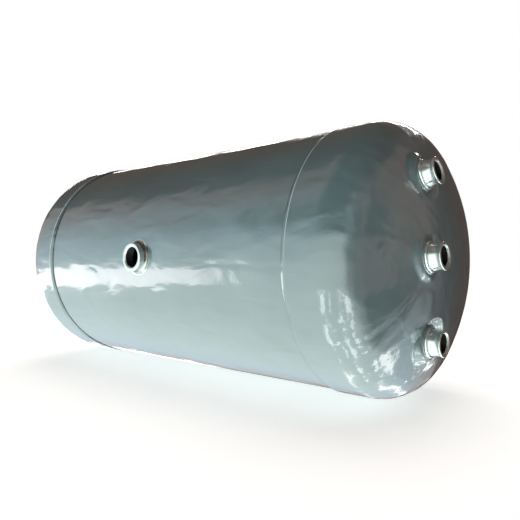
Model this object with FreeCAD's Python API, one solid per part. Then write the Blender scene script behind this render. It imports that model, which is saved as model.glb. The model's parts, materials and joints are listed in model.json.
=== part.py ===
"""Horizontal pressure tank: a rolled shell between two dished heads, with four threaded couplings.

Millimetres, +Z up. The tank's axis runs along X. X = 0 is midway between the two girth welds, Y = 0 is
the plane of the axis, and Z = 0 is the lowest line of the tank, which is the underside of both heads'
skirts. Every piece is built about the axis and lifted to its height when it is written out. "Front" is
the -Y side.
"""

import FreeCAD
import Part
import math
import os

from FreeCAD import Vector

# Shell: a plate rolled into a tube and closed by one straight weld
shell_radius = 235.0          # outside
shell_wall = 3.0
seam_spacing = 682.0          # from one girth weld to the other
shell_overlap = 28.0          # how far the shell runs on inside each head

# Heads: dished ends whose straight skirts slip over the shell
head_wall = 3.0
skirt_gap = 0.3               # radial fit between shell and skirt
skirt_length = 50.0           # from the lip to the start of the dish
crown_radius = 410.0          # outside, on the tank's axis
knuckle_radius = 76.0         # outside

# Girth welds: a fillet between each skirt's lip and the shell
girth_leg = 7.0               # along the shell
girth_crown = 0.9             # how far the bead bulges from its chord
girth_cap_drop = 0.4          # from the skirt's outside down to the bead's edge

# Straight weld of the shell
straight_weld_width = 7.0
straight_weld_height = 1.2
straight_weld_angle = 50.0    # from the top towards the back, in degrees
straight_weld_end_gap = 0.5   # to each girth weld

# Every coupling
spigot_projection = 2.0       # inside the wall
hole_gap = 0.3                # radial, round the spigot

# Head couplings: flanged sockets with a female pipe thread, 1 inch
bore_radius = 15.15           # thread's minor radius
bore_chamfer = 2.3
spigot_radius = 19.0          # goes through the wall
flange_radius = 24.4
flange_thickness = 5.0
flange_round = 1.2
groove_radius = 20.2          # between flange and body
groove_width = 1.4
body_radius = 21.4
waist_radius = 19.9
mouth_radius = 21.8
coupling_length = 24.2        # from seat to mouth
mouth_round = 1.5
coupling_weld_leg = 2.0

# Places of the head couplings: (towards the front, up) from the tank's axis, and upward tilt in degrees
head_couplings = {
    "top": (64.0, 131.0, 12.0),
    "middle": (85.5, 4.5, 3.5),
    "bottom": (50.0, -128.5, 0.0),
}

# Seats: flats pressed into the head under the couplings
seat_margin = 1.0             # flat beyond the coupling's weld
seat_flank_angle = 45.0       # between the flat and the pressed flank, in degrees

# Side coupling: a short boss with a female pipe thread, 1 1/4 inch, and a flared collar round its foot
side_bore_radius = 19.48      # thread's minor radius
side_bore_chamfer = 1.6
side_spigot_radius = 23.2
boss_radius = 27.0
boss_length = 15.0            # from the shell's outermost line under it to its mouth
boss_round = 1.5
collar_flare = 8.0            # radius of the collar's hollow curve
collar_edge = 0.4             # thickness at the collar's rim, above and below the boss
collar_root = 2.0             # how much deeper than its rim the collar is made before it is cut to the shell
side_from_seam = 328.5        # from the left-hand girth weld
side_angle = 1.3              # above the level of the axis, in degrees

# Derived sizes
seam_x = seam_spacing / 2
head_inner_radius = shell_radius + skirt_gap
head_radius = head_inner_radius + head_wall
dish_start = seam_x + skirt_length
knuckle_centre_radius = head_radius - knuckle_radius
crown_centre_x = dish_start - math.sqrt(
    (crown_radius - knuckle_radius) ** 2 - knuckle_centre_radius**2
)
axis_height = head_radius
seat_radius = flange_radius + coupling_weld_leg + seat_margin
side_x = -seam_x + side_from_seam

# Depth of the shell's curve under the edge of the side coupling's collar
collar_drop = shell_radius - math.sqrt(shell_radius**2 - (boss_radius + collar_flare) ** 2)

X_AXIS = Vector(1, 0, 0)
Y_AXIS = Vector(0, 1, 0)
Z_AXIS = Vector(0, 0, 1)
CENTRE = Vector(0, 0, 0)


def at(x, r):
    """Point of a section: x along the axis, r out from it."""
    return Vector(x, 0, r)


def line(start, end):
    return Part.LineSegment(start, end).toShape()


def arc(start, middle, end):
    return Part.Arc(start, middle, end).toShape()


def rounding(start, corner, end):
    """Quarter-circle arc that rounds off a square corner."""
    inside = start + end - corner
    middle = inside + (corner - inside) * math.sqrt(0.5)
    return arc(start, middle, end)


def revolve(edges, angle=360.0):
    """Solid swept by a closed section that is turned about the X axis."""
    face = Part.Face(Part.Wire(edges))
    solid = face.revolve(CENTRE, X_AXIS, angle)
    return solid if solid.Volume > 0 else solid.reversed()


def chain(points):
    """Straight edges through the points, in order."""
    return [line(a, b) for a, b in zip(points, points[1:])]


def ring(x_start, x_end, r_inner, r_outer):
    corners = [at(x_start, r_inner), at(x_end, r_inner), at(x_end, r_outer), at(x_start, r_outer)]
    return revolve(chain(corners + corners[:1]))


def rod(radius, start, direction, length):
    return Part.makeCylinder(radius, length, start, direction)


def dish_solid(x_start, inset):
    """Everything inside a right-hand head from x_start on, with the surface moved in by inset."""
    skirt = head_radius - inset
    knuckle = knuckle_radius - inset
    crown = crown_radius - inset
    join = math.atan2(knuckle_centre_radius, dish_start - crown_centre_x)

    def on_knuckle(angle):
        return at(dish_start + knuckle * math.cos(angle),
                  knuckle_centre_radius + knuckle * math.sin(angle))

    def on_crown(angle):
        return at(crown_centre_x + crown * math.cos(angle), crown * math.sin(angle))

    skirt_end = at(dish_start, skirt)
    edges = chain([on_crown(0), at(x_start, 0), at(x_start, skirt), skirt_end])
    edges.append(arc(skirt_end, on_knuckle((math.pi / 2 + join) / 2), on_knuckle(join)))
    edges.append(arc(on_knuckle(join), on_crown(join / 2), on_crown(0)))
    return revolve(edges)


def seat_centre(place):
    """Point of the right-hand head's outer face under the middle of a coupling."""
    front, up, _ = place
    x = crown_centre_x + math.sqrt(crown_radius**2 - front**2 - up**2)
    return Vector(x, -front, up)


def seat_direction(place):
    """Way a coupling points, which is square to its seat."""
    _, _, tilt = place
    angle = math.radians(tilt)
    return Vector(math.cos(angle), 0, math.sin(angle))


def flank(radius, centre, outward):
    """Ball that leaves the edge of a flat seat at the flank's angle, kept on one side of the flat."""
    angle = math.radians(seat_flank_angle)
    ball = Part.makeSphere(radius / math.sin(angle), centre + outward * (radius / math.tan(angle)))
    return ball.common(rod(head_radius, centre, outward, head_radius))


def pressed(solid, place, inset):
    """Gives a dish solid the pressed seat of one coupling, with its surface moved in by inset."""
    outward = seat_direction(place)
    slant = inset * math.tan(math.radians(seat_flank_angle) / 2)
    centre = seat_centre(place) - outward * inset
    raised = flank(seat_radius - slant, centre, -outward)
    sunk = flank(seat_radius + slant, centre, outward)
    return solid.fuse(raised).cut(sunk)


def plain_head():
    """Right-hand head with no opening."""
    return dish_solid(seam_x, 0).cut(dish_solid(seam_x - head_wall, head_wall))


def ported_head(places):
    """Right-hand head with a pressed seat and a hole for each coupling."""
    outside = dish_solid(seam_x, 0)
    inside = dish_solid(seam_x - head_wall, head_wall)
    for place in places:
        outside = pressed(outside, place, 0)
        inside = pressed(inside, place, head_wall)
    head = outside.cut(inside)
    for place in places:
        outward = seat_direction(place)
        start = seat_centre(place) - outward * seat_radius
        head = head.cut(rod(spigot_radius + hole_gap, start, outward, 2 * seat_radius))
    return head


def shell():
    """Rolled tube with the side coupling's hole."""
    end = seam_x + shell_overlap
    tube = ring(-end, end, shell_radius - shell_wall, shell_radius)
    hole = on_side(rod(side_spigot_radius + hole_gap, at(-shell_radius, 0), X_AXIS, 2 * shell_radius))
    return tube.cut(hole)


def girth_weld():
    """Fillet at the right-hand head's lip."""
    toe = at(seam_x - girth_leg, shell_radius)
    root = at(seam_x, shell_radius)
    cap = at(seam_x, head_radius - girth_cap_drop)
    chord = cap - toe
    outward = Vector(-chord.z, 0, chord.x).normalize()
    crest = (toe + cap) * 0.5 + outward * girth_crown
    return revolve([arc(toe, crest, cap), line(cap, root), line(root, toe)])


def straight_weld():
    """Bead along the shell, on its upper back."""
    half = seam_x - girth_leg - straight_weld_end_gap
    top = shell_radius + straight_weld_height
    sweep = math.degrees(straight_weld_width / shell_radius)
    bead = revolve(chain([at(-half, shell_radius), at(half, shell_radius), at(half, top), at(-half, top),
                          at(-half, shell_radius)]), sweep)
    bead.rotate(CENTRE, X_AXIS, -straight_weld_angle - sweep / 2)
    return bead


def bored(inner_end, mouth, radius, chamfer):
    """Edges of a threaded bore from a coupling's mouth to its inner end, with both ends chamfered."""
    return chain([at(mouth, radius + chamfer), at(mouth - chamfer, radius),
                  at(inner_end + chamfer, radius), at(inner_end, radius + chamfer)])


def head_coupling():
    """Flanged socket about the X axis, with its seat at x = 0."""
    inner_end = -head_wall - spigot_projection
    groove_end = flange_thickness + groove_width
    waist_x = (groove_end + coupling_length) / 2
    lip_x = coupling_length - mouth_round
    face_round = at(flange_thickness - flange_round, flange_radius)
    face_start = at(flange_thickness, flange_radius - flange_round)
    lip_end = at(coupling_length, mouth_radius - mouth_round)
    edges = chain([at(inner_end, bore_radius + bore_chamfer), at(inner_end, spigot_radius),
                   at(0, spigot_radius), at(0, flange_radius), face_round])
    edges.append(rounding(face_round, at(flange_thickness, flange_radius), face_start))
    edges += chain([face_start, at(flange_thickness, groove_radius), at(groove_end, groove_radius),
                    at(groove_end, body_radius)])
    edges.append(arc(at(groove_end, body_radius), at(waist_x, waist_radius), at(lip_x, mouth_radius)))
    edges.append(rounding(at(lip_x, mouth_radius), at(coupling_length, mouth_radius), lip_end))
    edges.append(line(lip_end, at(coupling_length, bore_radius + bore_chamfer)))
    edges += bored(inner_end, coupling_length, bore_radius, bore_chamfer)
    return revolve(edges)


def head_coupling_weld():
    """Fillet round a flange, about the X axis, with its seat at x = 0."""
    toe = at(0, flange_radius + coupling_weld_leg)
    top = at(coupling_weld_leg, flange_radius)
    root = at(0, flange_radius)
    return revolve([rounding(top, at(coupling_weld_leg, flange_radius + coupling_weld_leg), toe),
                    line(toe, root), line(root, top)])


def side_boss():
    """Side coupling about the X axis, with the shell's outermost line at x = 0."""
    inner_end = -shell_wall - spigot_projection
    foot = -collar_drop
    round_start = at(boss_length - boss_round, boss_radius)
    round_end = at(boss_length, boss_radius - boss_round)
    edges = chain([at(inner_end, side_bore_radius + side_bore_chamfer), at(inner_end, side_spigot_radius),
                   at(foot, side_spigot_radius), at(foot, boss_radius), round_start])
    edges.append(rounding(round_start, at(boss_length, boss_radius), round_end))
    edges.append(line(round_end, at(boss_length, side_bore_radius + side_bore_chamfer)))
    edges += bored(inner_end, boss_length, side_bore_radius, side_bore_chamfer)
    return saddled(revolve(edges))


def side_collar():
    """Hollow flare between the boss and the shell, about the X axis."""
    foot = -collar_drop - collar_root
    rim_x = collar_edge - collar_drop
    rim = at(rim_x, boss_radius + collar_flare)
    top = at(rim_x + collar_flare, boss_radius)
    hollow = at(top.x, rim.z) - at(1, 1) * (collar_flare * math.sqrt(0.5))
    edges = [arc(top, hollow, rim)]
    edges += chain([rim, at(foot, boss_radius + collar_flare), at(foot, boss_radius), top])
    return saddled(revolve(edges))


def saddled(solid):
    """Cuts away what would lie in the shell outside the spigot, with the shell's axis along Y."""
    body = rod(shell_radius, Vector(-shell_radius, -seam_x, 0), Y_AXIS, seam_spacing)
    spigot = rod(side_spigot_radius, at(-shell_radius, 0), X_AXIS, 2 * shell_radius)
    return solid.cut(body.cut(spigot))


def on_head(solid, place):
    """Stands a piece on its seat in the right-hand head."""
    _, _, tilt = place
    solid = solid.copy()
    solid.rotate(CENTRE, Y_AXIS, -tilt)
    return solid.translated(seat_centre(place))


def on_side(solid):
    """Turns a piece to point forward and stands it on the shell."""
    solid = solid.copy()
    solid.rotate(CENTRE, Z_AXIS, -90)
    solid.translate(Vector(side_x, -shell_radius, 0))
    solid.rotate(CENTRE, X_AXIS, -side_angle)
    return solid


def mirrored(solid):
    return solid.mirror(CENTRE, X_AXIS)


def build():
    pieces = {
        "shell": shell(),
        "straight_weld": straight_weld(),
        "head_right": ported_head(head_couplings.values()),
        "head_left": mirrored(plain_head()),
        "girth_weld_right": girth_weld(),
        "girth_weld_left": mirrored(girth_weld()),
        "coupling_side": on_side(side_boss()),
        "coupling_collar_side": on_side(side_collar()),
    }
    for name, place in head_couplings.items():
        pieces["coupling_" + name] = on_head(head_coupling(), place)
        pieces["coupling_weld_" + name] = on_head(head_coupling_weld(), place)
    return pieces


def main():
    os.makedirs("parts", exist_ok=True)
    for name, solid in build().items():
        solid.translated(Vector(0, 0, axis_height)).exportStep(f"parts/{name}.step")


main()
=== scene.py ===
"""Looks of a horizontal pressure tank: glossy enamel over steel, its weld beads and its threaded couplings.

Metres, +Z up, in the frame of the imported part. The tank's axis runs along X, the three couplings of the head
point to +X and the side coupling to -Y. Every shape is built about the tank's axis and lifted to its height.
"""

import json
import math

import bpy
import numpy as np
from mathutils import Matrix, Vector, noise


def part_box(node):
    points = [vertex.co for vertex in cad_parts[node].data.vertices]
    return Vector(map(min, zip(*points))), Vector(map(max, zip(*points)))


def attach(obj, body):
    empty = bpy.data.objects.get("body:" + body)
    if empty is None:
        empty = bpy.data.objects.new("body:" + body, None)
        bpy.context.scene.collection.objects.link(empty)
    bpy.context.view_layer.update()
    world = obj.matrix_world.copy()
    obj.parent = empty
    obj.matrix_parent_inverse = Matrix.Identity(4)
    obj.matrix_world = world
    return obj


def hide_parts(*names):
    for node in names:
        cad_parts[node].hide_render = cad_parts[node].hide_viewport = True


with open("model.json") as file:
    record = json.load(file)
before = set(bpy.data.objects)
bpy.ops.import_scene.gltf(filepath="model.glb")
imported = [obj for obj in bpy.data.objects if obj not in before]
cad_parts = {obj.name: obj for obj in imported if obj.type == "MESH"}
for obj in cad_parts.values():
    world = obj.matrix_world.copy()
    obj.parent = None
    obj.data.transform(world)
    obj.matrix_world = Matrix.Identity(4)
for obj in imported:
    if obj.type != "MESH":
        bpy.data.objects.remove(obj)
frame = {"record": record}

MM = 0.001
TAU = 2 * math.pi

# ---------------------------------------------------------------- sizes, from the frame
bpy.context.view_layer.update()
shell_low, shell_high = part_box("shell")
head_low, head_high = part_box("head_right")

AXIS_Z = (shell_low.z + shell_high.z) / 2
SHELL_R = (shell_high.y - shell_low.y) / 2
SHELL_END = shell_high.x
SEAM_X = head_low.x
HEAD_R = (head_high.y - head_low.y) / 2

# Sizes that no box shows
WALL = 3 * MM
SKIRT = 50 * MM
CROWN_R = 410 * MM
KNUCKLE_R = 76 * MM
SPIGOT_R = 19 * MM                   # of a head coupling
SIDE_SPIGOT_R = 23.2 * MM
SEAT_R = 27.4 * MM                   # flat pressed for a head coupling
SEAT_BLEND = 12 * MM
DISH_X = SEAM_X + SKIRT
KNUCKLE_C = HEAD_R - KNUCKLE_R
CROWN_C = DISH_X - math.sqrt((CROWN_R - KNUCKLE_R) ** 2 - KNUCKLE_C**2)

HEAD_COUPLINGS = ("top", "middle", "bottom")
SPIGOT_END = -5 * MM                 # measured out from the seat, like the lengths
HEAD_LENGTH = 24.2 * MM
SIDE_LENGTH = 15 * MM
MOUNTS = {mount["name"]: mount for mount in frame["record"]["mounts"]}


def coupling_frame(name, length):
    """Seat and direction of a coupling, from the middle of its bore, with heights from the tank's axis."""
    mount = MOUNTS["coupling_" + name]
    direction = np.array(mount["axis"], float)
    direction /= np.linalg.norm(direction)
    middle = np.array(mount["pos_m"]) - np.array([0, 0, AXIS_Z])
    return middle - direction * (length + SPIGOT_END) / 2, direction


SEATS = {name: coupling_frame(name, HEAD_LENGTH) for name in HEAD_COUPLINGS}
SIDE_SEAT = coupling_frame("side", SIDE_LENGTH)


# ---------------------------------------------------------------- mesh helpers
SEED_STEP = (17.3, 5.1, 9.7)         # how far one seed moves the noise from the next


def mesh_object(name, points, faces):
    """Piece from an array of points and an array of four-cornered faces."""
    mesh = bpy.data.meshes.new(name)
    mesh.vertices.add(len(points))
    mesh.vertices.foreach_set("co", np.asarray(points, np.float32).ravel())
    mesh.loops.add(faces.size)
    mesh.loops.foreach_set("vertex_index", faces.astype(np.int32).ravel())
    mesh.polygons.add(len(faces))
    mesh.polygons.foreach_set("loop_start", np.arange(0, faces.size, 4, dtype=np.int32))
    mesh.polygons.foreach_set("use_smooth", np.ones(len(faces), bool))
    mesh.update(calc_edges=True)
    mesh.validate()
    piece = bpy.data.objects.new(name, mesh)
    bpy.context.scene.collection.objects.link(piece)
    return piece


def grid_faces(rows, columns, closed=True):
    """Faces of a grid whose points run row by row. A closed grid joins its last column to the first."""
    row = np.arange(rows - 1)[:, None]
    column = np.arange(columns if closed else columns - 1)[None, :]
    after = (column + 1) % columns
    corners = [row * columns + column, row * columns + after,
               (row + 1) * columns + after, (row + 1) * columns + column]
    return np.stack(np.broadcast_arrays(*corners), axis=-1).reshape(-1, 4)


def ripple(points, size, seed):
    """Smooth noise from about -1 to 1 at each point, with bumps of the given size."""
    shift = Vector([seed * step for step in SEED_STEP])
    scale = 1 / size if np.isscalar(size) else 1 / np.asarray(size)
    scaled = np.asarray(points) * scale
    return np.array([noise.noise(Vector(p) + shift) for p in scaled])


def around(columns):
    """Cosines and sines of a full turn, from the top towards the front (-Y)."""
    angle = np.arange(columns) * TAU / columns
    return np.cos(angle), np.sin(angle)


def turned(profile, columns):
    """Points of a profile of (x, r) turned about the tank's axis, row by row."""
    profile = np.asarray(profile)
    up, front = around(columns)
    x = np.repeat(profile[:, 0:1], columns, axis=1)
    return np.stack([x, -profile[:, 1:2] * front, profile[:, 1:2] * up], axis=-1)


def smoothstep(value):
    """Soft step from 0 to 1 as the value goes from 0 to 1."""
    value = np.clip(value, 0, 1)
    return value * value * (3 - 2 * value)


def lifted(points):
    """Points about the tank's axis, as a list at their height over the floor."""
    return np.asarray(points).reshape(-1, 3) + np.array([0, 0, AXIS_Z])


# ---------------------------------------------------------------- heads
TIP_ANGLE = 0.0015                   # last row of the crown, just short of the tip
INNER_STEPS = (4, 10, 30)            # rows inside: skirt, knuckle, crown
LIP_DROP = 0.45 * MM                 # the lip is drawn in over its weld
LIP_WIDTH = 4 * MM
WRINKLE_DEPTH = 0.50 * MM            # wrinkles run lengthwise, and fade out towards the tip
WRINKLE_SIZE = 16 * MM
WRINKLE_STRETCH = 5
WRINKLE_CLIMB = 0.2                  # metres from the rim to the tip, so that the wrinkles run on there
WRINKLE_START = 0.45                 # shares of the head's radius
WRINKLE_RISE = 0.5
WAVE_DEPTH = 0.35 * MM
WAVE_SIZE = 55 * MM
DENT_MIDDLE = 0.5 * MM               # mean depth, so that most of the dents stay inside the CAD's surface
DENT_FADE = 8 * MM                   # from the lip


def dish_profile(inset, steps):
    """Right-hand head from its lip to the tip, moved in by inset, with steps for skirt, knuckle and crown."""
    join = math.atan2(KNUCKLE_C, DISH_X - CROWN_C)
    rows = [(SEAM_X + SKIRT * t, HEAD_R - inset) for t in np.linspace(0, 1, steps[0], endpoint=False)]
    for angle in np.linspace(math.pi / 2, join, steps[1], endpoint=False):
        rows.append((DISH_X + (KNUCKLE_R - inset) * math.cos(angle),
                     KNUCKLE_C + (KNUCKLE_R - inset) * math.sin(angle)))
    for angle in np.linspace(join, TIP_ANGLE, steps[2]):
        rows.append((CROWN_C + (CROWN_R - inset) * math.cos(angle), (CROWN_R - inset) * math.sin(angle)))
    return np.array(rows)


def press_seats(points, inset):
    """Draws the surface to each seat's flat, with a soft flank round it."""
    near = points[..., 0] > DISH_X
    for seat, out in SEATS.values():
        y, up = points[..., 1] - seat[1], points[..., 2] - seat[2]
        share = 1 - smoothstep((np.hypot(y, up) - SEAT_R) / SEAT_BLEND)
        flat_x = seat[0] - inset - (y * out[1] + up * out[2]) / out[0]
        points[..., 0] += np.where(near, share * (flat_x - points[..., 0]), 0)
    return points


def dents(flat, seed):
    """Depth of the head's wrinkles and of its broad waves."""
    radius = np.hypot(flat[:, 1], flat[:, 2])
    angle = np.arctan2(-flat[:, 1], flat[:, 2])
    along = np.interp(radius, [0, HEAD_R], [1, 0]) * WRINKLE_CLIMB + flat[:, 0]
    place = np.stack([along / WRINKLE_STRETCH, np.cos(angle) * HEAD_R, np.sin(angle) * HEAD_R], axis=1)
    drawn = smoothstep((radius - WRINKLE_START * HEAD_R) / (WRINKLE_RISE * HEAD_R))
    wrinkles = WRINKLE_DEPTH * ripple(place, WRINKLE_SIZE, seed) * drawn
    return wrinkles + WAVE_DEPTH * ripple(flat, WAVE_SIZE, seed + 1)


def dented(surface, seed):
    """The head's outer surface, sunk by its dents."""
    flat = surface.reshape(-1, 3)
    outward = np.stack([np.where(flat[:, 0] > DISH_X, (flat[:, 0] - DISH_X) / KNUCKLE_R, 0),
                        flat[:, 1] / HEAD_R, flat[:, 2] / HEAD_R], axis=1)
    outward /= np.linalg.norm(outward, axis=1)[:, None]
    fade = smoothstep((flat[:, 0] - SEAM_X) / DENT_FADE)
    sunk = flat - outward * (DENT_MIDDLE + dents(flat, seed))[:, None] * fade[:, None]
    return sunk.reshape(surface.shape)


def head(name, sign, steps, columns, seats, seed):
    """Head with its wall, made for the right-hand end and mirrored by sign."""
    profile = dish_profile(0, steps)
    drop = np.exp(-((profile[:, 0] - SEAM_X) / LIP_WIDTH) ** 2) * LIP_DROP
    profile[:, 1] -= np.where(profile[:, 0] < DISH_X, drop, 0)
    outer = dented(turned(profile, columns), seed)
    inner = turned(dish_profile(WALL, INNER_STEPS), columns)
    if seats:
        outer = press_seats(outer, 0)
        inner = press_seats(inner, WALL)
    # The inner lip and the outer lip stand twice, so that the lip's edges stay sharp
    grid = np.concatenate([inner[::-1], inner[:1], outer[:1], outer])
    faces = grid_faces(len(grid), columns)
    points = grid.reshape(-1, 3)
    if seats:
        for seat, _ in SEATS.values():
            points, faces = open_hole(points, faces, seat[1:], (1, 2), points[:, 0] > DISH_X, SPIGOT_R)
    points[:, 0] *= sign
    if sign > 0:
        faces = faces[:, ::-1]
    return mesh_object(name, lifted(points), faces)


def open_hole(points, faces, centre, plane, near, radius):
    """Takes out the faces inside a spigot's hole, and draws the hole's edge to a circle."""
    plane = list(plane)
    offset = points[:, plane] - np.asarray(centre)
    distance = np.hypot(offset[:, 0], offset[:, 1])
    inside = (distance < radius) & near
    gone = inside[faces].any(axis=1)
    edge = np.unique(faces[gone])
    edge = edge[~inside[edge]]
    scale = radius / np.maximum(distance[edge], 1e-9)
    points = points.copy()
    points[np.ix_(edge, plane)] = offset[edge] * scale[:, None] + np.asarray(centre)
    return points, faces[~gone]


# ---------------------------------------------------------------- shell
SEAM_PULL = 0.5 * MM                 # the welds draw the shell in
SEAM_PULL_WIDTH = 18 * MM
SHELL_WAVE = 0.30 * MM
SHELL_WAVE_SIZE = (140 * MM, 60 * MM, 60 * MM)
DIMPLE = 0.12 * MM
DIMPLE_SIZE = 28 * MM
INNER_ROWS = 40                      # the inside is plain, so it has fewer rows


def shell_sink(points):
    """How far the shell lies inside its full radius: drawn in at the seams, with waves and dimples."""
    pull = SEAM_PULL * np.exp(-((np.abs(points[:, 0]) - SEAM_X) / SEAM_PULL_WIDTH) ** 2)
    wave = SHELL_WAVE * (1 + ripple(points, SHELL_WAVE_SIZE, 3))
    dimple = DIMPLE * (1 + ripple(points, DIMPLE_SIZE, 5))
    return pull + wave + dimple


def shell(rows, columns):
    """Rolled tube with its wall and the side coupling's hole."""
    profile = [(x, SHELL_R) for x in np.linspace(-SHELL_END, SHELL_END, rows)]
    points = turned(profile, columns).reshape(-1, 3)
    scale = 1 - shell_sink(points) / SHELL_R
    outer = (points * np.stack([np.ones_like(scale), scale, scale], axis=1)).reshape(rows, columns, 3)
    inner_scale = 1 - WALL / SHELL_R
    inner = (points * [1, inner_scale, inner_scale]).reshape(rows, columns, 3)
    inner = np.concatenate([inner[::max(1, rows // INNER_ROWS)], inner[-1:]])
    grid = np.concatenate([outer, inner[::-1], outer[:1]])
    faces = grid_faces(len(grid), columns)
    points = grid.reshape(-1, 3)
    points, faces = open_hole(points, faces, SIDE_SEAT[0][[0, 2]], (0, 2), points[:, 1] < 0, SIDE_SPIGOT_R)
    return mesh_object("shell_visual", lifted(points), faces)


# ---------------------------------------------------------------- welds
BEAD_ROWS = 10                       # across a bead
WANDER_SIZE = 30 * MM
UNEVEN_SIZE = 14 * MM
CRESCENT = 0.55                      # how far a ripple's middle trails its ends, in pitches
# Shares of a bead's height
UNEVEN_HEIGHT = 0.18
RIPPLE_HEIGHT = 0.06
TOE_HEIGHT = -0.1
# Shares of a bead's width
UNEVEN_WIDTH = 0.07
WANDER_WIDTH = 0.04

GIRTH_TOE = 7 * MM                   # where the girth bead meets the shell, from the head's lip
GIRTH_CAP = 0.4 * MM                 # under the head's radius
GIRTH_HEIGHT = 0.9 * MM
GIRTH_PITCH = 2.6 * MM
GIRTH_SEED = 11
STRAIGHT_WIDTH = 7 * MM
STRAIGHT_HEIGHT = 1.1 * MM
STRAIGHT_PITCH = 2.4 * MM
STRAIGHT_SEED = 21


def bead(name, path, side, out, width, height, pitch, seed, closed):
    """Ripple bead: path (n, 3), with unit vectors across it and outward, in rows of a rounded section."""
    length = np.concatenate([[0], np.cumsum(np.linalg.norm(np.diff(path, axis=0), axis=1))])
    share = np.linspace(-1, 1, BEAD_ROWS)
    wander = ripple(path, WANDER_SIZE, seed)[:, None]
    uneven = ripple(path, UNEVEN_SIZE, seed + 2)[:, None]
    crescent = length[:, None] / pitch - CRESCENT * (1 - share[None, :] ** 2)
    edge = np.abs((crescent % 1) - 0.5) * 2
    bulge = (1 - share[None, :] ** 2) * height * (1 + UNEVEN_HEIGHT * uneven) - RIPPLE_HEIGHT * height * edge
    bulge[:, [0, -1]] = TOE_HEIGHT * height
    offset = share[None, :] * width / 2 * (1 + UNEVEN_WIDTH * uneven) + WANDER_WIDTH * width * wander
    points = path[:, None, :] + side[:, None, :] * offset[..., None] + out[:, None, :] * bulge[..., None]
    faces = grid_faces(len(path), BEAD_ROWS, closed=False)
    if closed:
        last = np.arange(BEAD_ROWS - 1) + (len(path) - 1) * BEAD_ROWS
        first = np.arange(BEAD_ROWS - 1)
        joint = np.stack([last, last + 1, first + 1, first], axis=1)
        faces = np.concatenate([faces, joint])
    return mesh_object(name, lifted(points), faces)


def ring(columns, x, r):
    """The same x and r all round the tank's axis."""
    up, front = around(columns)
    return np.stack([np.full(columns, x), -r * front, r * up], axis=1)


def girth_bead(name, sign, columns=1920):
    """Bead at a head's lip, from the shell up to the head."""
    toe = np.array([SEAM_X - GIRTH_TOE, SHELL_R])
    cap = np.array([SEAM_X, HEAD_R - GIRTH_CAP])
    middle, chord = (toe + cap) / 2, cap - toe
    width = np.linalg.norm(chord)
    chord /= width
    path, side = ring(columns, *middle), ring(columns, *chord)
    out = ring(columns, -chord[1], chord[0])
    for array in (path, side, out):
        array[:, 0] *= sign
    return bead(name, path, side, out, width, GIRTH_HEIGHT, GIRTH_PITCH, GIRTH_SEED + sign, True)


def straight_bead(rows=1500):
    """Bead that closes the shell, along its upper back."""
    low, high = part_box("straight_weld")
    y, up = (low.y + high.y) / 2, (low.z + high.z) / 2 - AXIS_Z
    radial = np.array([0, y, up]) / math.hypot(y, up)
    across = np.array([0, radial[2], -radial[1]])
    x = np.linspace(low.x, high.x, rows)
    path = np.stack([x, np.full(rows, radial[1] * SHELL_R), np.full(rows, radial[2] * SHELL_R)], axis=1)
    side = np.repeat(across[None, :], rows, axis=0)
    out = np.repeat(radial[None, :], rows, axis=0)
    return bead("straight_weld_visual", path, side, out, STRAIGHT_WIDTH, STRAIGHT_HEIGHT, STRAIGHT_PITCH,
                STRAIGHT_SEED, False)


# ---------------------------------------------------------------- couplings
THREAD_PITCH = 2.309 * MM
THREAD_DEPTH = 1.3 * MM
THREAD_ROWS = 10                     # for each turn
THREAD_FLANK = (1.25, -0.1)          # slope and shift that leave a flat on the crest and in the root
MOUTH_EDGE = 0.4 * MM                # from the thread's ends to the coupling's
SPIGOT_EDGE = 0.6 * MM
# Past this depth from the mouth the bore is painted near-black: painted shade inside the bore.
PAINTED_SHADE_DEPTH = 3.2 * MM
MOUTH_CHAMFER = 2.3 * MM
SIDE_MOUTH_CHAMFER = 1.6 * MM
CURVE_STEPS = 4                      # rows between two points of a section

FLANGE_R = 24.4 * MM
WELD_LEG = 2 * MM
WELD_WIDTH = 1.9                     # in legs
WELD_HEIGHT = 0.5 * MM
WELD_PITCH = 2.1 * MM

BOSS_R = 27 * MM
COLLAR_FLARE = 8 * MM
COLLAR_RIM = BOSS_R + COLLAR_FLARE
COLLAR_START = -0.03                 # just inside the boss, in flares
COLLAR_LIFT = 0.4 * MM               # over the shell
COLLAR_SINK = 1.5 * MM               # its skirt runs into the shell
COLLAR_SKIRT = 0.3 * MM              # outside the rim


def head_section():
    """Outer section (x from the seat, r) of a head coupling, from its spigot to its lip."""
    spigot = [(-5.0, 17.4), (-5.0, 19.0), (-0.6, 19.0), (-0.6, 24.3)]
    flange = [(0.4, 24.4), (3.4, 24.4), (4.3, 24.15), (4.9, 23.4), (5.0, 22.4), (5.0, 20.6), (5.1, 20.2),
              (6.3, 20.2)]
    waist = [(6.4, 21.3), (9, 20.7), (12, 20.15), (15, 19.95), (18, 20.2), (20.5, 20.9), (22.2, 21.6)]
    lip = [(23.2, 21.7), (23.9, 21.2), (24.2, 20.3), (24.2, 18.4), (24.0, 17.6)]
    return np.array(spigot + flange + waist + lip) * MM


def side_section():
    """Outer section (x from the shell's outermost line, r) of the side boss."""
    body = [(-5.0, 21.2), (-5.0, 23.2), (-2.6, 23.2), (-2.6, 26.9), (0, 27.0), (8, 27.0), (12.4, 27.0)]
    lip = [(13.9, 26.8), (14.7, 26.2), (15.0, 25.4), (15.0, 22.0), (14.8, 21.2)]
    return np.array(body + lip) * MM


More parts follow.
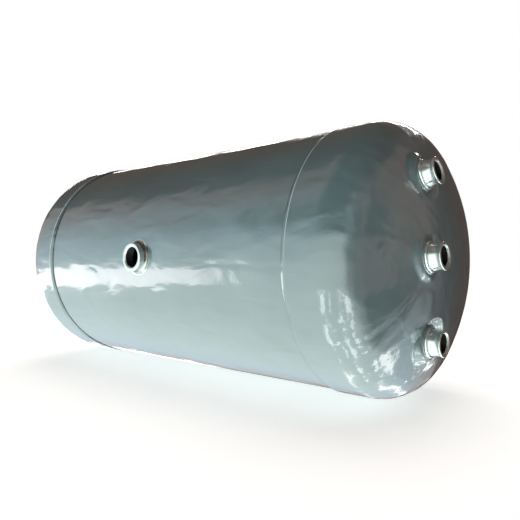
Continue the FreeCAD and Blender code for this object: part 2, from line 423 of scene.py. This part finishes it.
def smooth_profile(profile):
    """Profile with rows added between its points by a Catmull-Rom curve."""
    rows = []
    ends = np.concatenate([profile[:1], profile, profile[-1:]])
    for i in range(1, len(profile)):
        p0, p1, p2, p3 = ends[i - 1], ends[i], ends[i + 1], ends[min(i + 2, len(ends) - 1)]
        for t in np.linspace(0, 1, CURVE_STEPS, endpoint=False):
            rows.append(0.5 * (2 * p1 + (p2 - p0) * t + (2 * p0 - 5 * p1 + 4 * p2 - p3) * t**2
                               + (3 * p1 - p0 - 3 * p2 + p3) * t**3))
    rows.append(profile[-1])
    return np.array(rows)


def thread_points(bore_r, length, mouth, columns):
    """Rows of a threaded bore from its mouth inwards, with the chamfer at the mouth."""
    turns = (length - SPIGOT_END) / THREAD_PITCH
    x = np.linspace(length - MOUTH_EDGE, SPIGOT_END + SPIGOT_EDGE, int(turns * THREAD_ROWS))[:, None]
    phase = x / THREAD_PITCH - np.arange(columns)[None, :] / columns
    groove = np.abs((phase % 1) - 0.5) * 2
    slope, shift = THREAD_FLANK
    radius = bore_r + THREAD_DEPTH * smoothstep(groove * slope + shift)
    radius = np.maximum(radius, bore_r + mouth - (length - x))
    up, front = around(columns)
    return np.stack([np.repeat(x, columns, 1), -radius * front, radius * up], axis=-1)


def coupling_points(section, bore_r, length, mouth, columns):
    """Points, faces and the deep bore faces that take the painted shade, of a coupling about its own axis,
    with its seat at x = 0.
    """
    outer = turned(smooth_profile(section), columns)
    thread = thread_points(bore_r, length, mouth, columns)
    grid = np.concatenate([outer, thread, outer[:1]])
    deep = np.zeros(len(grid) - 1, bool)
    deep[len(outer):len(outer) + len(thread)] = thread[:, 0, 0] < length - PAINTED_SHADE_DEPTH
    return grid.reshape(-1, 3), grid_faces(len(grid), columns)[:, ::-1], np.repeat(deep, columns)


def stand(points, seat, out):
    """Points about their own X axis, stood on a seat and turned to point out."""
    across = np.cross([0, 0, 1], out)
    across /= np.linalg.norm(across)
    upward = np.cross(out, across)
    return points @ np.stack([out, across, upward]) + seat


def shell_surface(r, up):
    """Place of the shell along the boss's axis from its outermost line, at radius r from that axis."""
    return np.sqrt(SHELL_R**2 - (r * up) ** 2) - SHELL_R


def collar(columns=240, steps=26):
    """Hollow flare that runs from the boss out into the shell."""
    up, front = around(columns)
    r = BOSS_R + COLLAR_FLARE * np.linspace(COLLAR_START, 1, steps)[:, None]
    rim_x = shell_surface(COLLAR_RIM, 1.0) + COLLAR_LIFT
    reach = np.clip(COLLAR_RIM - r, 0, COLLAR_FLARE)
    flare = rim_x + COLLAR_FLARE - np.sqrt(COLLAR_FLARE**2 - reach**2)
    surface = shell_surface(r, up[None, :])
    x = np.maximum(np.broadcast_to(flare, surface.shape), surface)
    sunk = np.concatenate([x, surface[-1:] - COLLAR_SINK])
    radii = np.concatenate([np.broadcast_to(r, x.shape), np.full((1, columns), COLLAR_RIM + COLLAR_SKIRT)])
    grid = np.stack([sunk, -radii * front, radii * up], axis=-1)
    return grid.reshape(-1, 3), grid_faces(len(grid), columns)


def flange_bead(name, place, columns=300):
    """Fillet round a flange, rippled."""
    slope = math.sqrt(0.5)
    path = ring(columns, WELD_LEG / 2, FLANGE_R + WELD_LEG / 2)
    side, out = ring(columns, slope, -slope), ring(columns, slope, slope)
    origin = stand(np.zeros((1, 3)), *place)
    side, out = stand(side, *place) - origin, stand(out, *place) - origin
    return bead(name, stand(path, *place), side, out, WELD_LEG * WELD_WIDTH, WELD_HEIGHT, WELD_PITCH,
                len(name), True)


# ---------------------------------------------------------------- materials
ENAMEL_SURFACE = {"Roughness": 0.3, "IOR": 1.5,
                  "Coat Weight": 1.0, "Coat Roughness": 0.04, "Coat IOR": 1.8}
ENAMEL_CLOUDS = {"Scale": 7.0, "Detail": 5.0, "Roughness": 0.55}
ENAMEL_REACH = (0.30, 0.72)          # where the noise turns from dark to light
BRUSH_STRETCH = (0.45, 1.0, 1.0)     # the waves are longer along the tank
BRUSH_WAVES = {"Scale": 24.0, "Detail": 1.5, "Roughness": 0.4, "Distortion": 0.6}
BRUSH_BUMP = {"Strength": 1.0, "Distance": 0.0026}
PEEL_BUMP = {"Strength": 0.25, "Distance": 0.0005}
STEEL_CLOUDS = {"Scale": 60.0, "Detail": 6.0, "Roughness": 0.6}
STEEL_REACH = (0.35, 0.7)
STEEL_BUMP = {"Strength": 0.2, "Distance": 0.0004}
FLOOR_CLOUDS = {"Scale": 1.5, "Detail": 3.0}
FLOOR_DARK = (0.84, 0.84, 0.84)
FLOOR_LIGHT = (0.88, 0.88, 0.88)
FLOOR_GLOW = {"Roughness": 0.9, "Emission Color": (1.0, 0.98, 0.96, 1), "Emission Strength": 0.56}


def node(tree, kind, **values):
    """Node whose inputs, or else its own settings, take the values."""
    made = tree.nodes.new(kind)
    for key, value in values.items():
        if key in made.inputs:
            made.inputs[key].default_value = value
        else:
            setattr(made, key, value)
    return made


def material(name, **surface):
    """Material with its tree, its shader and the object's own coordinates."""
    made = bpy.data.materials.new(name)
    made.use_nodes = True
    tree = made.node_tree
    shader = tree.nodes["Principled BSDF"]
    for key, value in surface.items():
        shader.inputs[key].default_value = value
    place = node(tree, "ShaderNodeTexCoord").outputs["Object"]
    return made, tree, shader, place


def textured(tree, place, **texture):
    """Noise at a place."""
    made = node(tree, "ShaderNodeTexNoise", **texture)
    tree.links.new(place, made.inputs["Vector"])
    return made.outputs["Fac"]


def cloudy_colour(tree, shader, height, dark, light, reach=(0, 1)):
    """Gives the shader a colour that drifts from dark to light."""
    ramp = node(tree, "ShaderNodeValToRGB")
    for element, position, colour in zip(ramp.color_ramp.elements, reach, (dark, light)):
        element.position = position
        element.color = (*colour, 1)
    tree.links.new(height, ramp.inputs["Fac"])
    tree.links.new(ramp.outputs["Color"], shader.inputs["Base Color"])


def bumped(tree, height, **bump):
    """Bump node that takes its height from a socket."""
    made = node(tree, "ShaderNodeBump", **bump)
    tree.links.new(height, made.inputs["Height"])
    return made


def enamel_material(name, light, dark, grain):
    """Thick brushed enamel: cloudy colour under a glossy coat, with long waves and a fine orange peel."""
    made, tree, shader, place = material(name, **ENAMEL_SURFACE)
    cloudy_colour(tree, shader, textured(tree, place, **ENAMEL_CLOUDS), dark, light, ENAMEL_REACH)
    stretch = node(tree, "ShaderNodeMapping", Scale=BRUSH_STRETCH)
    tree.links.new(place, stretch.inputs["Vector"])
    waves = bumped(tree, textured(tree, stretch.outputs["Vector"], **BRUSH_WAVES), **BRUSH_BUMP)
    peel = bumped(tree, textured(tree, place, Scale=grain, Detail=2.0, Roughness=0.5), **PEEL_BUMP)
    tree.links.new(waves.outputs["Normal"], peel.inputs["Normal"])
    tree.links.new(peel.outputs["Normal"], shader.inputs["Normal"])
    tree.links.new(peel.outputs["Normal"], shader.inputs["Coat Normal"])
    return made


def steel_material(name, dark, light, metallic, roughness, grain):
    """Plated steel with cloudy plating and a fine grain."""
    made, tree, shader, place = material(name, Metallic=metallic, Roughness=roughness)
    cloudy_colour(tree, shader, textured(tree, place, **STEEL_CLOUDS), dark, light, STEEL_REACH)
    fine = bumped(tree, textured(tree, place, Scale=grain, Detail=3.0), **STEEL_BUMP)
    tree.links.new(fine.outputs["Normal"], shader.inputs["Normal"])
    return made


def floor_material():
    """Matt and nearly white, with a little light of its own."""
    made, tree, shader, place = material("pale_floor", **FLOOR_GLOW)
    cloudy_colour(tree, shader, textured(tree, place, **FLOOR_CLOUDS), FLOOR_DARK, FLOOR_LIGHT)
    return made


# ---------------------------------------------------------------- pieces
ENAMEL = enamel_material("blue_grey_enamel", light=(0.128, 0.205, 0.225), dark=(0.098, 0.165, 0.185),
                         grain=260.0)
ENAMEL_WELD = enamel_material("enamelled_weld", light=(0.120, 0.195, 0.212), dark=(0.090, 0.155, 0.170),
                              grain=420.0)
ZINC = steel_material("zinc_plate", dark=(0.60, 0.67, 0.66), light=(0.74, 0.80, 0.79),
                      metallic=0.72, roughness=0.19, grain=240.0)
COLLAR_STEEL = steel_material("collar_steel", dark=(0.30, 0.33, 0.33), light=(0.42, 0.45, 0.45),
                              metallic=0.92, roughness=0.22, grain=320.0)
# Near-black material for the deep bore faces: painted shade inside the bore.
BORE_PAINTED_SHADE = steel_material("bore_painted_shade", dark=(0.02, 0.021, 0.023), light=(0.045, 0.045, 0.05),
                            metallic=0.92, roughness=0.45, grain=600.0)


def finish_piece(piece, look, slot, *nodes):
    """Gives a piece its look and ties it to the CAD nodes that it replaces."""
    piece.data.materials.append(look)
    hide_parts(*nodes)
    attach(piece, "root")


def coupling_piece(name, section, length, mouth, place, columns=144):
    """Threaded coupling whose deep bore is painted near-black as shade."""
    bore_r = MOUNTS["coupling_" + name]["dims"]["r_mm"] * MM
    points, faces, deep = coupling_points(section, bore_r, length, mouth, columns)
    piece = mesh_object(f"coupling_{name}_visual", lifted(stand(points, *place)), faces)
    finish_piece(piece, ZINC, "coupling_steel", "coupling_" + name)
    # The deep bore faces take the near-black painted shade.
    piece.data.materials.append(BORE_PAINTED_SHADE)
    piece.data.polygons.foreach_set("material_index", deep.astype(np.int32))


finish_piece(shell(rows=232, columns=336), ENAMEL, "enamel", "shell")
right_head = head("head_right_visual", sign=1, steps=(24, 42, 88), columns=456, seats=True, seed=31)
finish_piece(right_head, ENAMEL, "enamel", "head_right")
left_head = head("head_left_visual", sign=-1, steps=(22, 34, 60), columns=400, seats=False, seed=47)
finish_piece(left_head, ENAMEL, "enamel", "head_left")
finish_piece(girth_bead("girth_weld_right_visual", 1), ENAMEL_WELD, "enamelled_weld", "girth_weld_right")
finish_piece(girth_bead("girth_weld_left_visual", -1), ENAMEL_WELD, "enamelled_weld", "girth_weld_left")
finish_piece(straight_bead(), ENAMEL_WELD, "enamelled_weld", "straight_weld")

for name in HEAD_COUPLINGS:
    coupling_piece(name, head_section(), HEAD_LENGTH, MOUTH_CHAMFER, SEATS[name])
    weld = flange_bead(f"coupling_weld_{name}_visual", SEATS[name])
    finish_piece(weld, ENAMEL_WELD, "coupling_weld", "coupling_weld_" + name)
coupling_piece("side", side_section(), SIDE_LENGTH, SIDE_MOUTH_CHAMFER, SIDE_SEAT, 180)
collar_points, collar_faces = collar()
collar_points = lifted(stand(collar_points, *SIDE_SEAT))
side_collar = mesh_object("coupling_collar_side_visual", collar_points, collar_faces)
finish_piece(side_collar, COLLAR_STEEL, "coupling_weld", "coupling_collar_side")


# ---------------------------------------------------------------- floor and lights
FLOOR_HOLE = 0.002                   # first ring's share, before the spread; its tiny hole is under the tank
FLOOR_SPREAD = 1.5                   # rings lie closer together near the tank
STRIP_PLACE = (-1.6, 1.2, 1.12)
STRIP_SIZE = (4.0, 0.05)
STRIP_POWER = 10
SUN_PLACE = (-0.5, 0.9, 2.4)
SUN_POWER = 1.3
SUN_ANGLE = math.radians(50)


def floor(radius=14.0, rings=24, columns=96):
    """Pale floor that shows to the camera but not in the enamel."""
    r = radius * np.linspace(FLOOR_HOLE, 1, rings) ** FLOOR_SPREAD
    up, front = around(columns)
    points = np.stack([r[:, None] * up, r[:, None] * front, np.zeros((rings, columns))], axis=-1)
    piece = mesh_object("floor", points.reshape(-1, 3), grid_faces(rings, columns))
    piece.data.materials.append(floor_material())
    piece.visible_glossy = False
    piece.visible_diffuse = False
    return piece


def aim(item, place, target):
    """Stands a light or camera at a place, facing the target."""
    item.location = place
    item.rotation_euler = (Vector(target) - Vector(place)).to_track_quat("-Z", "Y").to_euler()


def add_light(name, kind, power, place, target):
    """Light aimed from a place at a target."""
    data = bpy.data.lights.new(name, kind)
    data.energy = power
    item = bpy.data.objects.new(name, data)
    bpy.context.scene.collection.objects.link(item)
    aim(item, place, target)
    return item


def back_strip():
    """Long thin light behind the tank, for the bright line along its top."""
    item = add_light("back_strip", "AREA", STRIP_POWER, STRIP_PLACE, (STRIP_PLACE[0], 0, AXIS_Z))
    item.visible_camera = False
    item.data.shape = "RECTANGLE"
    item.data.size, item.data.size_y = STRIP_SIZE


def floor_light(ground):
    """Wide soft sun that only the floor takes, for the tank's soft shadow."""
    item = add_light("overhead", "SUN", SUN_POWER, SUN_PLACE, (0, 0, 0))
    item.data.angle = SUN_ANGLE
    only = bpy.data.collections.new("floor_only")
    only.objects.link(ground)
    item.light_linking.receiver_collection = only


# ---------------------------------------------------------------- surround
# Each pair says where a zone starts and where it is whole: on a coordinate of the direction, on its cosine
# with the zone's own direction, or on the noise. X is right, -Y is front.
SCREEN_DIRECTION = Vector((0.13, -0.62, -0.76)).normalized()
SCREEN_FADE = (-0.52, 0.82)
SCREEN_MIDDLE_AT = 0.45
SCREEN_MIDDLE = (1.02, 1.26, 1.38)
SCREEN_BRIGHT = (1.98, 2.16, 2.00)
ROOM_DARK = (0.44, 0.28, 0.24)
BACK_DARK = (0.11, 0.075, 0.055)

RIGHT_EDGE = (0.58, 0.92)
RIGHT_FLOOR = (-1.0, -0.75)
SHADE_SIZE = 0.45                    # dark patches within the right-hand zone
SHADE_EDGE = (0.46, 0.60)
CEILING_EDGE = (0.50, 0.75)
CEILING_LEFT = (-0.45, -0.15)
FRONT_EDGE = (0.24, 0.52)
FRONT_SIDE = (-0.46, -0.68)
BACK_DIRECTION = Vector((-0.733, 0.40, 0.683)).normalized()
BACK_EDGE = (0.805, 0.855)
FAR_EDGE = (0.58, 0.86)
FAR_FLOOR = (-0.50, -0.25)
FAR_DARK = (0.095, 0.068, 0.060)

BAND_HEIGHT = (-0.285, -0.090)       # bottom and top of the strip, soft over its edge
BAND_EDGE = 0.02
BAND_END = (-0.675, -0.735)
BAND_BRIGHT = (4.5, 4.5, 4.5)
PATCH_SIZE = 0.2
PATCH_EDGE = (0.545, 0.60)
PATCH_TOP = (-0.38, -0.48)
PATCH_LEFT = (-0.45, -0.30)
PATCH_RIGHT = (0.72, 0.60)
PATCH_BRIGHT = (5.4, 5.6, 5.6)


def share(tree, socket, low, high):
    """How far a value is from low to high, from 0 to 1."""
    made = node(tree, "ShaderNodeMapRange", interpolation_type="SMOOTHSTEP")
    made.inputs["From Min"].default_value = low
    made.inputs["From Max"].default_value = high
    tree.links.new(socket, made.inputs["Value"])
    return made.outputs["Result"]


def towards(tree, place, direction):
    """Cosine of the angle between the place and a direction."""
    made = node(tree, "ShaderNodeVectorMath", operation="DOT_PRODUCT")
    made.inputs[1].default_value = direction
    tree.links.new(place, made.inputs[0])
    return made.outputs["Value"]


def cloudy(tree, place, size):
    """Noise over the directions, with patches of the given size."""
    return textured(tree, place, Scale=1 / size, Detail=4.0)


def product(tree, *sockets):
    """All the sockets multiplied."""
    total = sockets[0]
    for socket in sockets[1:]:
        made = node(tree, "ShaderNodeMath", operation="MULTIPLY")
        tree.links.new(total, made.inputs[0])
        tree.links.new(socket, made.inputs[1])
        total = made.outputs["Value"]
    return total


def covered(tree, factor, under, colour):
    """Colour laid over another by a factor."""
    made = node(tree, "ShaderNodeMix", data_type="RGBA")
    tree.links.new(factor, made.inputs["Factor"])
    tree.links.new(under, made.inputs["A"])
    made.inputs["B"].default_value = (*colour, 1)
    return made.outputs["Result"]


def screen_colour(tree, place):
    """Pale screen low in front that fades into a brown room."""
    fade = share(tree, towards(tree, place, SCREEN_DIRECTION), *SCREEN_FADE)
    ramp = node(tree, "ShaderNodeValToRGB")
    ramp.color_ramp.elements[0].color = (*ROOM_DARK, 1)
    ramp.color_ramp.elements[1].color = (*SCREEN_BRIGHT, 1)
    middle = ramp.color_ramp.elements.new(SCREEN_MIDDLE_AT)
    middle.color = (*SCREEN_MIDDLE, 1)
    tree.links.new(fade, ramp.inputs["Fac"])
    return ramp.outputs["Color"]


def dark_zones(tree, place, x, y, z):
    """Factor and colour of each dark zone, from the lowest layer up."""
    right = product(tree, share(tree, x, *RIGHT_EDGE), share(tree, z, *RIGHT_FLOOR))
    shade = share(tree, cloudy(tree, place, SHADE_SIZE), *SHADE_EDGE)
    ceiling = product(tree, share(tree, z, *CEILING_EDGE), share(tree, x, *CEILING_LEFT))
    front = product(tree, share(tree, z, *FRONT_EDGE), share(tree, y, *FRONT_SIDE))
    back = share(tree, towards(tree, place, BACK_DIRECTION), *BACK_EDGE)
    far = product(tree, share(tree, y, *FAR_EDGE), share(tree, z, *FAR_FLOOR))
    return [(right, ROOM_DARK), (product(tree, right, shade), BACK_DARK), (ceiling, BACK_DARK),
            (front, BACK_DARK), (back, BACK_DARK), (far, FAR_DARK)]


def bright_zones(tree, place, x, z):
    """Factor and colour of the strip low on the left and of the patches below it."""
    above = share(tree, z, BAND_HEIGHT[0] - BAND_EDGE, BAND_HEIGHT[0])
    below = share(tree, z, BAND_HEIGHT[1] + BAND_EDGE, BAND_HEIGHT[1])
    band = product(tree, above, below, share(tree, x, *BAND_END))
    spot = share(tree, cloudy(tree, place, PATCH_SIZE), *PATCH_EDGE)
    patches = product(tree, spot, share(tree, z, *PATCH_TOP), share(tree, x, *PATCH_LEFT),
                      share(tree, x, *PATCH_RIGHT))
    return [(band, BAND_BRIGHT), (patches, PATCH_BRIGHT)]


def world_light():
    """Studio surround for reflections and bounce light, set by a ray's direction.

    A pale screen low in front fades into a brown room. Dark zones lie on the right, above, high in
    front, at the upper back left and on the far side. A bright strip lies low on the left, and bright
    patches below. Rays straight from the camera see plain white.
    """
    world = bpy.data.worlds.new("studio")
    bpy.context.scene.world = world
    world.use_nodes = True
    tree = world.node_tree
    tree.nodes.clear()
    place = node(tree, "ShaderNodeTexCoord").outputs["Generated"]
    split = node(tree, "ShaderNodeSeparateXYZ")
    tree.links.new(place, split.inputs["Vector"])
    x, y, z = (split.outputs[axis] for axis in "XYZ")
    colour = screen_colour(tree, place)
    for factor, laid in dark_zones(tree, place, x, y, z) + bright_zones(tree, place, x, z):
        colour = covered(tree, factor, colour, laid)
    ray = node(tree, "ShaderNodeLightPath").outputs["Is Camera Ray"]
    colour = covered(tree, ray, colour, (1, 1, 1))
    background = node(tree, "ShaderNodeBackground")
    tree.links.new(colour, background.inputs["Color"])
    output = node(tree, "ShaderNodeOutputWorld")
    tree.links.new(background.outputs["Background"], output.inputs["Surface"])


world_light()
back_strip()
floor_light(floor())

# ---------------------------------------------------------------- camera, fitted to the photograph's outline
CAMERA_AZIMUTH = math.radians(40.3)
CAMERA_DISTANCE = 1.101
CAMERA_TARGET_X = 0.0953
CAMERA_SENSOR = 36
CAMERA_FOCAL = 35.930769

camera_data = bpy.data.cameras.new("camera")
camera_data.sensor_width = CAMERA_SENSOR
camera_data.lens = CAMERA_FOCAL
camera = bpy.data.objects.new("camera", camera_data)
bpy.context.scene.collection.objects.link(camera)
camera_place = (CAMERA_TARGET_X + CAMERA_DISTANCE * math.sin(CAMERA_AZIMUTH),
                -CAMERA_DISTANCE * math.cos(CAMERA_AZIMUTH), AXIS_Z)
aim(camera, camera_place, (CAMERA_TARGET_X, 0, AXIS_Z))
bpy.context.scene.camera = camera
bpy.context.scene.view_settings.view_transform = "Standard"
